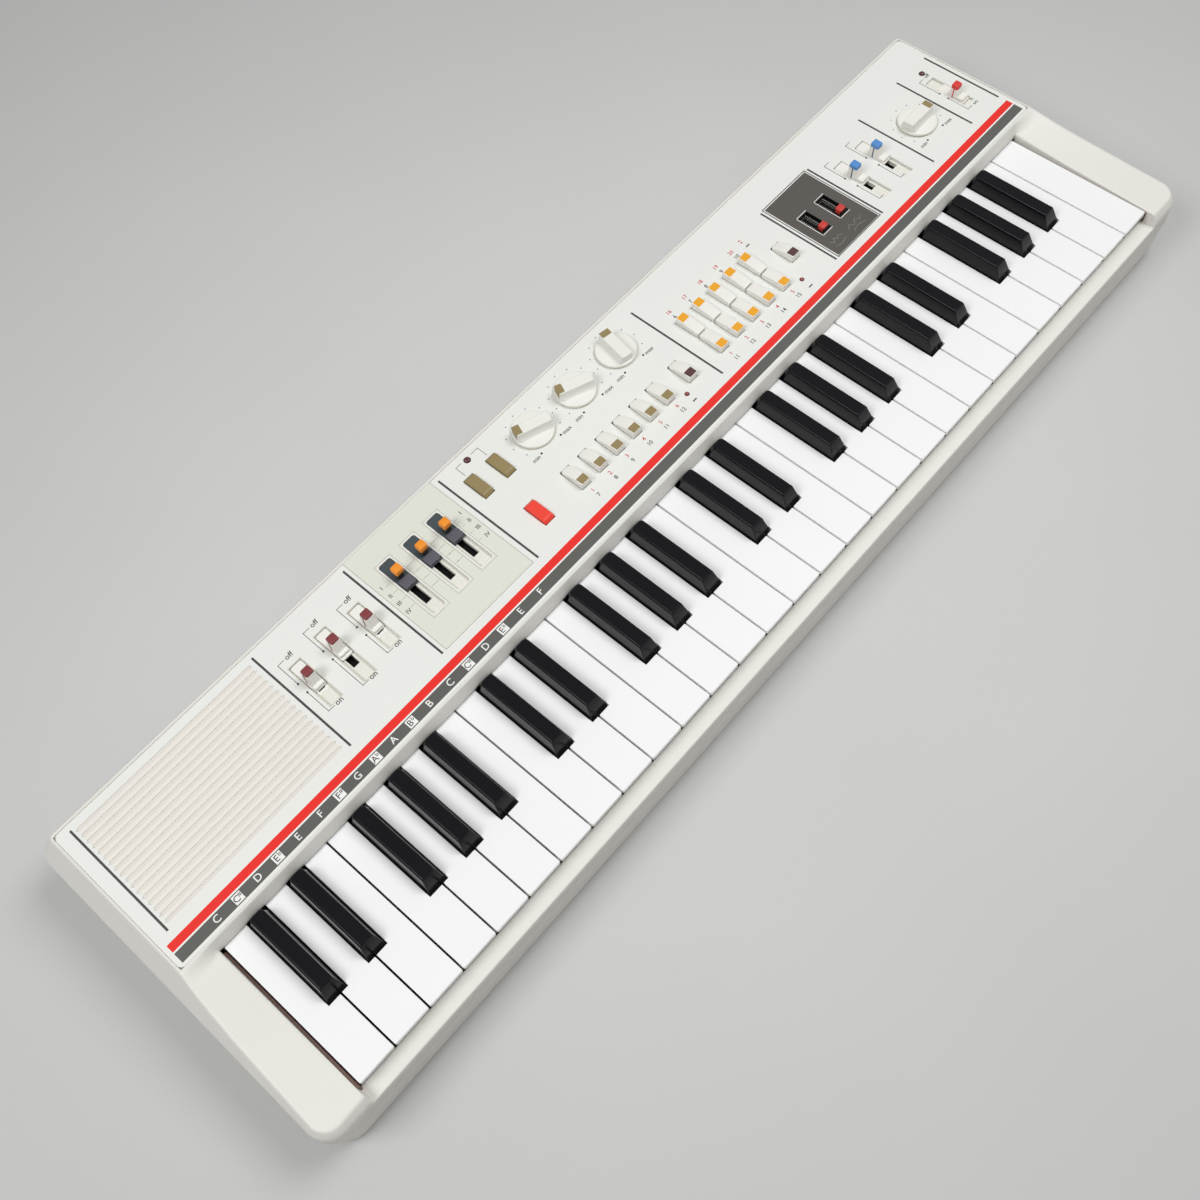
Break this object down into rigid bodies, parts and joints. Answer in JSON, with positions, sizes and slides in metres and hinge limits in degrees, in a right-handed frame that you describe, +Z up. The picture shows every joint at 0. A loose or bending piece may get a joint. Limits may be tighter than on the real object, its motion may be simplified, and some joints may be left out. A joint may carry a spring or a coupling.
{
  "type": "portable keyboard",
  "caption": "Small flat electronic keyboard with white and black keys and a printed control panel of sliders, knobs and buttons behind them.",
  "frame": {"origin": "on the table, under the middle of the case", "axes": "+X to the player's right along the keys, +Y to the rear, +Z up"},
  "size_m": [0.618, 0.185, 0.0591],
  "materials": {
    "lower_case": "fine moulded off-white",
    "upper_case": "fine moulded off-white",
    "control_panel_plate": "smooth printed off-white",
    "key_chassis": "plain moulded grey",
    "main_board": "coated board",
    "loudspeaker": "paper cone in a black frame",
    "battery_cover": "fine moulded off-white",
    "white_key_01": "smooth white",
    "white_key_02": "smooth white",
    "white_key_03": "smooth white",
    "white_key_04": "smooth white",
    "white_key_05": "smooth white",
    "white_key_06": "smooth white",
    "white_key_07": "smooth white",
    "white_key_08": "smooth white",
    "white_key_09": "smooth white",
    "white_key_10": "smooth white",
    "white_key_11": "smooth white",
    "white_key_12": "smooth white",
    "white_key_13": "smooth white",
    "white_key_14": "smooth white",
    "white_key_15": "smooth white",
    "white_key_16": "smooth white",
    "white_key_17": "smooth white",
    "white_key_18": "smooth white",
    "white_key_19": "smooth white",
    "white_key_20": "smooth white",
    "white_key_21": "smooth white",
    "white_key_22": "smooth white",
    "white_key_23": "smooth white",
    "white_key_24": "smooth white",
    "white_key_25": "smooth white",
    "white_key_26": "smooth white",
    "white_key_27": "smooth white",
    "white_key_28": "smooth white",
    "white_key_29": "smooth white",
    "black_keys_octave_1": "glossy black",
    "black_keys_octave_2": "glossy black",
    "black_keys_octave_3": "glossy black",
    "black_keys_octave_4": "glossy black",
    "manual_bass_switch": "smooth with a coloured cap",
    "chord_mode_switch": "smooth with a coloured cap",
    "arpeggio_switch": "smooth with a coloured cap",
    "bass_slider": "smooth with a coloured cap",
    "chord_slider": "smooth with a coloured cap",
    "arpeggio_slider": "smooth with a coloured cap",
    "field_switch_left": "smooth with a coloured cap",
    "field_switch_right": "smooth with a coloured cap",
    "effect_switch_left": "smooth with a coloured cap",
    "effect_switch_right": "smooth with a coloured cap",
    "power_switch": "smooth with a coloured cap",
    "tempo_knob": "smooth off-white",
    "accompaniment_knob": "smooth off-white",
    "rhythm_knob": "smooth off-white",
    "volume_knob": "smooth off-white",
    "start_button": "smooth moulded",
    "synchro_button": "smooth moulded",
    "fill_in_button": "smooth moulded",
    "rhythm_button_strip": "smooth moulded",
    "tone_button_strip": "smooth moulded"
  },
  "bodies": {
    "case": {"lower_case": "lower_case", "upper_case": "upper_case", "control_panel_plate": "control_panel_plate", "key_chassis": "key_chassis", "main_board": "main_board", "loudspeaker": "loudspeaker"},
    "battery_cover": {"battery_cover": "battery_cover"},
    "white_key_01": {"white_key_01": "white_key_01"},
    "white_key_02": {"white_key_02": "white_key_02"},
    "white_key_03": {"white_key_03": "white_key_03"},
    "white_key_04": {"white_key_04": "white_key_04"},
    "white_key_05": {"white_key_05": "white_key_05"},
    "white_key_06": {"white_key_06": "white_key_06"},
    "white_key_07": {"white_key_07": "white_key_07"},
    "white_key_08": {"white_key_08": "white_key_08"},
    "white_key_09": {"white_key_09": "white_key_09"},
    "white_key_10": {"white_key_10": "white_key_10"},
    "white_key_11": {"white_key_11": "white_key_11"},
    "white_key_12": {"white_key_12": "white_key_12"},
    "white_key_13": {"white_key_13": "white_key_13"},
    "white_key_14": {"white_key_14": "white_key_14"},
    "white_key_15": {"white_key_15": "white_key_15"},
    "white_key_16": {"white_key_16": "white_key_16"},
    "white_key_17": {"white_key_17": "white_key_17"},
    "white_key_18": {"white_key_18": "white_key_18"},
    "white_key_19": {"white_key_19": "white_key_19"},
    "white_key_20": {"white_key_20": "white_key_20"},
    "white_key_21": {"white_key_21": "white_key_21"},
    "white_key_22": {"white_key_22": "white_key_22"},
    "white_key_23": {"white_key_23": "white_key_23"},
    "white_key_24": {"white_key_24": "white_key_24"},
    "white_key_25": {"white_key_25": "white_key_25"},
    "white_key_26": {"white_key_26": "white_key_26"},
    "white_key_27": {"white_key_27": "white_key_27"},
    "white_key_28": {"white_key_28": "white_key_28"},
    "white_key_29": {"white_key_29": "white_key_29"},
    "black_keys_octave_1": {"black_keys_octave_1": "black_keys_octave_1"},
    "black_keys_octave_2": {"black_keys_octave_2": "black_keys_octave_2"},
    "black_keys_octave_3": {"black_keys_octave_3": "black_keys_octave_3"},
    "black_keys_octave_4": {"black_keys_octave_4": "black_keys_octave_4"},
    "manual_bass_switch": {"manual_bass_switch": "manual_bass_switch"},
    "chord_mode_switch": {"chord_mode_switch": "chord_mode_switch"},
    "arpeggio_switch": {"arpeggio_switch": "arpeggio_switch"},
    "bass_slider": {"bass_slider": "bass_slider"},
    "chord_slider": {"chord_slider": "chord_slider"},
    "arpeggio_slider": {"arpeggio_slider": "arpeggio_slider"},
    "field_switch_left": {"field_switch_left": "field_switch_left"},
    "field_switch_right": {"field_switch_right": "field_switch_right"},
    "effect_switch_left": {"effect_switch_left": "effect_switch_left"},
    "effect_switch_right": {"effect_switch_right": "effect_switch_right"},
    "power_switch": {"power_switch": "power_switch"},
    "tempo_knob": {"tempo_knob": "tempo_knob"},
    "accompaniment_knob": {"accompaniment_knob": "accompaniment_knob"},
    "rhythm_knob": {"rhythm_knob": "rhythm_knob"},
    "volume_knob": {"volume_knob": "volume_knob"},
    "start_button": {"start_button": "start_button"},
    "synchro_button": {"synchro_button": "synchro_button"},
    "fill_in_button": {"fill_in_button": "fill_in_button"},
    "rhythm_button_strip": {"rhythm_button_strip": "rhythm_button_strip"},
    "tone_button_strip": {"tone_button_strip": "tone_button_strip"}
  },
  "joints": [
    {"name": "manual_bass_switch_slide", "type": "slide", "parent": "case", "child": "manual_bass_switch", "axis": [0, 1, 0], "range_m": [-0.005, 0]},
    {"name": "chord_mode_switch_slide", "type": "slide", "parent": "case", "child": "chord_mode_switch", "axis": [0, 1, 0], "range_m": [-0.01, 0]},
    {"name": "arpeggio_switch_slide", "type": "slide", "parent": "case", "child": "arpeggio_switch", "axis": [0, 1, 0], "range_m": [-0.005, 0]},
    {"name": "bass_slider_slide", "type": "slide", "parent": "case", "child": "bass_slider", "axis": [0, 1, 0], "range_m": [-0.016, 0]},
    {"name": "chord_slider_slide", "type": "slide", "parent": "case", "child": "chord_slider", "axis": [0, 1, 0], "range_m": [-0.016, 0]},
    {"name": "arpeggio_slider_slide", "type": "slide", "parent": "case", "child": "arpeggio_slider", "axis": [0, 1, 0], "range_m": [-0.016, 0]},
    {"name": "field_switch_left_slide", "type": "slide", "parent": "case", "child": "field_switch_left", "axis": [0, 1, 0], "range_m": [0, 0.01]},
    {"name": "field_switch_right_slide", "type": "slide", "parent": "case", "child": "field_switch_right", "axis": [0, 1, 0], "range_m": [0, 0.01]},
    {"name": "effect_switch_left_slide", "type": "slide", "parent": "case", "child": "effect_switch_left", "axis": [0, 1, 0], "range_m": [-0.01, 0]},
    {"name": "effect_switch_right_slide", "type": "slide", "parent": "case", "child": "effect_switch_right", "axis": [0, 1, 0], "range_m": [-0.01, 0]},
    {"name": "power_switch_slide", "type": "slide", "parent": "case", "child": "power_switch", "axis": [0, 1, 0], "range_m": [0, 0.005]},
    {"name": "tempo_knob_turn", "type": "hinge", "parent": "case", "child": "tempo_knob", "pos_m": [-0.0199, 0.064, 0.0504], "axis": [0, 0, 1], "range_deg": [-220, 80]},
    {"name": "accompaniment_knob_turn", "type": "hinge", "parent": "case", "child": "accompaniment_knob", "pos_m": [0.0103, 0.064, 0.0504], "axis": [0, 0, 1], "range_deg": [-218, 82]},
    {"name": "rhythm_knob_turn", "type": "hinge", "parent": "case", "child": "rhythm_knob", "pos_m": [0.0404, 0.064, 0.0504], "axis": [0, 0, 1], "range_deg": [-140, 160]},
    {"name": "volume_knob_turn", "type": "hinge", "parent": "case", "child": "volume_knob", "pos_m": [0.2547, 0.0381, 0.0504], "axis": [0, 0, 1], "range_deg": [-60, 240]},
    {"name": "start_button_push", "type": "slide", "parent": "case", "child": "start_button", "axis": [0, 0, -1], "range_m": [0, 0.0012], "stiffness_N_per_m": 400, "springref_m": -0.001},
    {"name": "synchro_button_push", "type": "slide", "parent": "case", "child": "synchro_button", "axis": [0, 0, -1], "range_m": [0, 0.0012], "stiffness_N_per_m": 400, "springref_m": -0.001},
    {"name": "fill_in_button_push", "type": "slide", "parent": "case", "child": "fill_in_button", "axis": [0, 0, -1], "range_m": [0, 0.0012], "stiffness_N_per_m": 400, "springref_m": -0.001},
    {"name": "rhythm_button_strip_push", "type": "slide", "parent": "case", "child": "rhythm_button_strip", "axis": [0, 0, -1], "range_m": [0, 0.0012], "stiffness_N_per_m": 800, "springref_m": -0.001},
    {"name": "tone_button_strip_push", "type": "slide", "parent": "case", "child": "tone_button_strip", "axis": [0, 0, -1], "range_m": [0, 0.0012], "stiffness_N_per_m": 800, "springref_m": -0.001},
    {"name": "battery_cover_slide", "type": "slide", "parent": "case", "child": "battery_cover", "axis": [0, 1, 0], "range_m": [0, 0.06]},
    {"name": "black_keys_octave_1_press", "type": "hinge", "parent": "case", "child": "black_keys_octave_1", "pos_m": [-0.2142, 0.0155, 0.031], "axis": [1, 0, 0], "range_deg": [0, 2.9], "stiffness_Nm_per_rad": 2.4, "springref_deg": -3.44},
    {"name": "black_keys_octave_2_press", "type": "hinge", "parent": "case", "child": "black_keys_octave_2", "pos_m": [-0.0777, 0.0155, 0.031], "axis": [1, 0, 0], "range_deg": [0, 2.9], "stiffness_Nm_per_rad": 2.4, "springref_deg": -3.44},
    {"name": "black_keys_octave_3_press", "type": "hinge", "parent": "case", "child": "black_keys_octave_3", "pos_m": [0.0588, 0.0155, 0.031], "axis": [1, 0, 0], "range_deg": [0, 2.9], "stiffness_Nm_per_rad": 2.4, "springref_deg": -3.44},
    {"name": "black_keys_octave_4_press", "type": "hinge", "parent": "case", "child": "black_keys_octave_4", "pos_m": [0.1953, 0.0155, 0.031], "axis": [1, 0, 0], "range_deg": [0, 2.9], "stiffness_Nm_per_rad": 2.4, "springref_deg": -3.44},
    {"name": "white_key_01_press", "type": "hinge", "parent": "case", "child": "white_key_01", "pos_m": [-0.273, 0.0085, 0.031], "axis": [1, 0, 0], "range_deg": [0, 2.9], "stiffness_Nm_per_rad": 0.6, "springref_deg": -3.44},
    {"name": "white_key_02_press", "type": "hinge", "parent": "case", "child": "white_key_02", "pos_m": [-0.2535, 0.0085, 0.031], "axis": [1, 0, 0], "range_deg": [0, 2.9], "stiffness_Nm_per_rad": 0.6, "springref_deg": -3.44},
    {"name": "white_key_03_press", "type": "hinge", "parent": "case", "child": "white_key_03", "pos_m": [-0.234, 0.0085, 0.031], "axis": [1, 0, 0], "range_deg": [0, 2.9], "stiffness_Nm_per_rad": 0.6, "springref_deg": -3.44},
    {"name": "white_key_04_press", "type": "hinge", "parent": "case", "child": "white_key_04", "pos_m": [-0.2145, 0.0085, 0.031], "axis": [1, 0, 0], "range_deg": [0, 2.9], "stiffness_Nm_per_rad": 0.6, "springref_deg": -3.44},
    {"name": "white_key_05_press", "type": "hinge", "parent": "case", "child": "white_key_05", "pos_m": [-0.195, 0.0085, 0.031], "axis": [1, 0, 0], "range_deg": [0, 2.9], "stiffness_Nm_per_rad": 0.6, "springref_deg": -3.44},
    {"name": "white_key_06_press", "type": "hinge", "parent": "case", "child": "white_key_06", "pos_m": [-0.1755, 0.0085, 0.031], "axis": [1, 0, 0], "range_deg": [0, 2.9], "stiffness_Nm_per_rad": 0.6, "springref_deg": -3.44},
    {"name": "white_key_07_press", "type": "hinge", "parent": "case", "child": "white_key_07", "pos_m": [-0.156, 0.0085, 0.031], "axis": [1, 0, 0], "range_deg": [0, 2.9], "stiffness_Nm_per_rad": 0.6, "springref_deg": -3.44},
    {"name": "white_key_08_press", "type": "hinge", "parent": "case", "child": "white_key_08", "pos_m": [-0.1365, 0.0085, 0.031], "axis": [1, 0, 0], "range_deg": [0, 2.9], "stiffness_Nm_per_rad": 0.6, "springref_deg": -3.44},
    {"name": "white_key_09_press", "type": "hinge", "parent": "case", "child": "white_key_09", "pos_m": [-0.117, 0.0085, 0.031], "axis": [1, 0, 0], "range_deg": [0, 2.9], "stiffness_Nm_per_rad": 0.6, "springref_deg": -3.44},
    {"name": "white_key_10_press", "type": "hinge", "parent": "case", "child": "white_key_10", "pos_m": [-0.0975, 0.0085, 0.031], "axis": [1, 0, 0], "range_deg": [0, 2.9], "stiffness_Nm_per_rad": 0.6, "springref_deg": -3.44},
    {"name": "white_key_11_press", "type": "hinge", "parent": "case", "child": "white_key_11", "pos_m": [-0.078, 0.0085, 0.031], "axis": [1, 0, 0], "range_deg": [0, 2.9], "stiffness_Nm_per_rad": 0.6, "springref_deg": -3.44},
    {"name": "white_key_12_press", "type": "hinge", "parent": "case", "child": "white_key_12", "pos_m": [-0.0585, 0.0085, 0.031], "axis": [1, 0, 0], "range_deg": [0, 2.9], "stiffness_Nm_per_rad": 0.6, "springref_deg": -3.44},
    {"name": "white_key_13_press", "type": "hinge", "parent": "case", "child": "white_key_13", "pos_m": [-0.039, 0.0085, 0.031], "axis": [1, 0, 0], "range_deg": [0, 2.9], "stiffness_Nm_per_rad": 0.6, "springref_deg": -3.44},
    {"name": "white_key_14_press", "type": "hinge", "parent": "case", "child": "white_key_14", "pos_m": [-0.0195, 0.0085, 0.031], "axis": [1, 0, 0], "range_deg": [0, 2.9], "stiffness_Nm_per_rad": 0.6, "springref_deg": -3.44},
    {"name": "white_key_15_press", "type": "hinge", "parent": "case", "child": "white_key_15", "pos_m": [0, 0.0085, 0.031], "axis": [1, 0, 0], "range_deg": [0, 2.9], "stiffness_Nm_per_rad": 0.6, "springref_deg": -3.44},
    {"name": "white_key_16_press", "type": "hinge", "parent": "case", "child": "white_key_16", "pos_m": [0.0195, 0.0085, 0.031], "axis": [1, 0, 0], "range_deg": [0, 2.9], "stiffness_Nm_per_rad": 0.6, "springref_deg": -3.44},
    {"name": "white_key_17_press", "type": "hinge", "parent": "case", "child": "white_key_17", "pos_m": [0.039, 0.0085, 0.031], "axis": [1, 0, 0], "range_deg": [0, 2.9], "stiffness_Nm_per_rad": 0.6, "springref_deg": -3.44},
    {"name": "white_key_18_press", "type": "hinge", "parent": "case", "child": "white_key_18", "pos_m": [0.0585, 0.0085, 0.031], "axis": [1, 0, 0], "range_deg": [0, 2.9], "stiffness_Nm_per_rad": 0.6, "springref_deg": -3.44},
    {"name": "white_key_19_press", "type": "hinge", "parent": "case", "child": "white_key_19", "pos_m": [0.078, 0.0085, 0.031], "axis": [1, 0, 0], "range_deg": [0, 2.9], "stiffness_Nm_per_rad": 0.6, "springref_deg": -3.44},
    {"name": "white_key_20_press", "type": "hinge", "parent": "case", "child": "white_key_20", "pos_m": [0.0975, 0.0085, 0.031], "axis": [1, 0, 0], "range_deg": [0, 2.9], "stiffness_Nm_per_rad": 0.6, "springref_deg": -3.44},
    {"name": "white_key_21_press", "type": "hinge", "parent": "case", "child": "white_key_21", "pos_m": [0.117, 0.0085, 0.031], "axis": [1, 0, 0], "range_deg": [0, 2.9], "stiffness_Nm_per_rad": 0.6, "springref_deg": -3.44},
    {"name": "white_key_22_press", "type": "hinge", "parent": "case", "child": "white_key_22", "pos_m": [0.1365, 0.0085, 0.031], "axis": [1, 0, 0], "range_deg": [0, 2.9], "stiffness_Nm_per_rad": 0.6, "springref_deg": -3.44},
    {"name": "white_key_23_press", "type": "hinge", "parent": "case", "child": "white_key_23", "pos_m": [0.156, 0.0085, 0.031], "axis": [1, 0, 0], "range_deg": [0, 2.9], "stiffness_Nm_per_rad": 0.6, "springref_deg": -3.44},
    {"name": "white_key_24_press", "type": "hinge", "parent": "case", "child": "white_key_24", "pos_m": [0.1755, 0.0085, 0.031], "axis": [1, 0, 0], "range_deg": [0, 2.9], "stiffness_Nm_per_rad": 0.6, "springref_deg": -3.44},
    {"name": "white_key_25_press", "type": "hinge", "parent": "case", "child": "white_key_25", "pos_m": [0.195, 0.0085, 0.031], "axis": [1, 0, 0], "range_deg": [0, 2.9], "stiffness_Nm_per_rad": 0.6, "springref_deg": -3.44},
    {"name": "white_key_26_press", "type": "hinge", "parent": "case", "child": "white_key_26", "pos_m": [0.2145, 0.0085, 0.031], "axis": [1, 0, 0], "range_deg": [0, 2.9], "stiffness_Nm_per_rad": 0.6, "springref_deg": -3.44},
    {"name": "white_key_27_press", "type": "hinge", "parent": "case", "child": "white_key_27", "pos_m": [0.234, 0.0085, 0.031], "axis": [1, 0, 0], "range_deg": [0, 2.9], "stiffness_Nm_per_rad": 0.6, "springref_deg": -3.44},
    {"name": "white_key_28_press", "type": "hinge", "parent": "case", "child": "white_key_28", "pos_m": [0.2535, 0.0085, 0.031], "axis": [1, 0, 0], "range_deg": [0, 2.9], "stiffness_Nm_per_rad": 0.6, "springref_deg": -3.44},
    {"name": "white_key_29_press", "type": "hinge", "parent": "case", "child": "white_key_29", "pos_m": [0.273, 0.0085, 0.031], "axis": [1, 0, 0], "range_deg": [0, 2.9], "stiffness_Nm_per_rad": 0.6, "springref_deg": -3.44}
  ]
}
